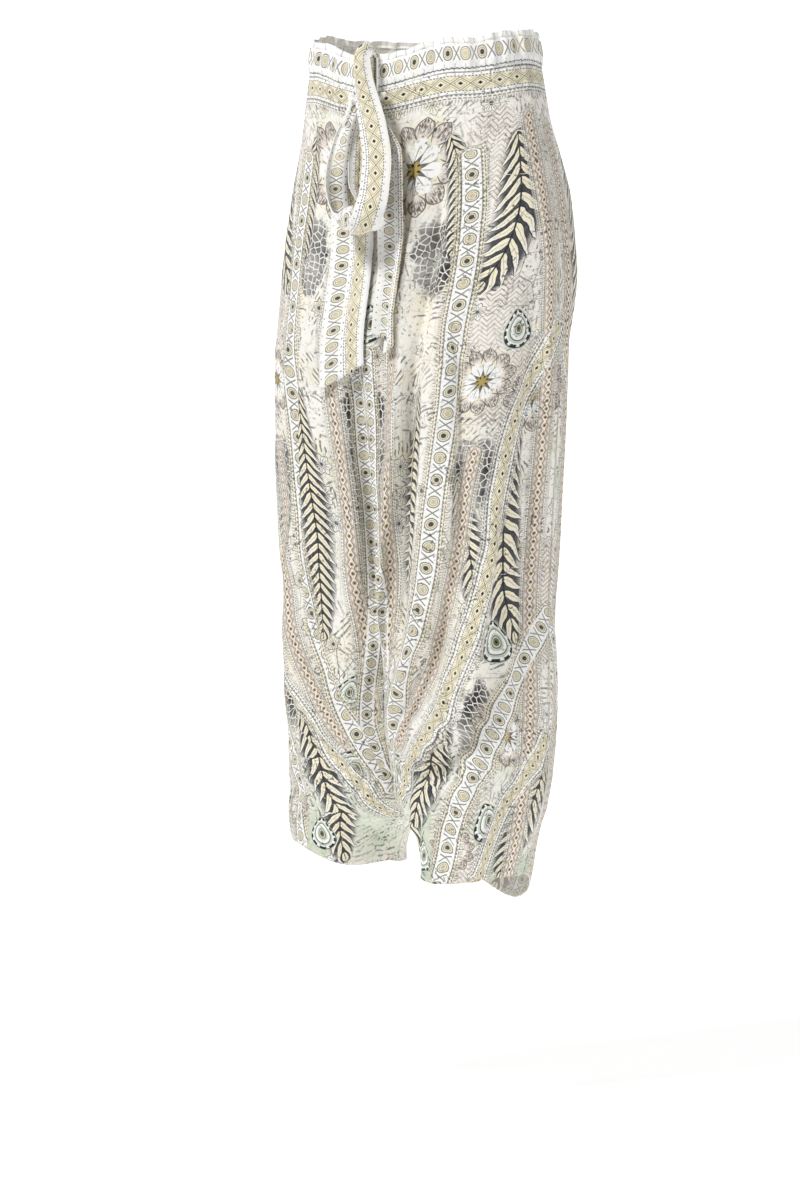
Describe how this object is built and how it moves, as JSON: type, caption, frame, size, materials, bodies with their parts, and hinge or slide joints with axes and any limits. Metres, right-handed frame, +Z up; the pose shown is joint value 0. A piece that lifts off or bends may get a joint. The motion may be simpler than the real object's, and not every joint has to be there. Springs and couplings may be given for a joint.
{
  "type": "drop-crotch harem trousers with tie waist",
  "caption": "Loose cropped trousers with a low draped crotch, a gathered waistband and a half-bow sash, hollow and open at the waist and legs as if worn.",
  "frame": {"origin": "the middle of the waist opening at the height of the waistband's lower half, where the wearer's waist holds the garment", "axes": "+Z up, -Y is the garment's front, +X is the wearer's left"},
  "size_m": [0.3502, 0.2817, 0.9157],
  "materials": {
    "printed_cloth": "soft matte crepe with a mixed ivory, sage and charcoal print",
    "border_cloth": "soft matte crepe with woven-look border bands",
    "sash_cloth": "soft matte crepe with lengthwise border bands"
  },
  "bodies": {
    "root": {"front_left": "printed_cloth", "front_right": "printed_cloth", "back_left": "printed_cloth", "back_right": "printed_cloth", "waistband_front": "border_cloth", "waistband_back": "border_cloth", "sash_knot": "sash_cloth", "sash_loop": "sash_cloth", "sash_end_right": "sash_cloth", "sash_end_left": "sash_cloth"}
  },
  "joints": []
}
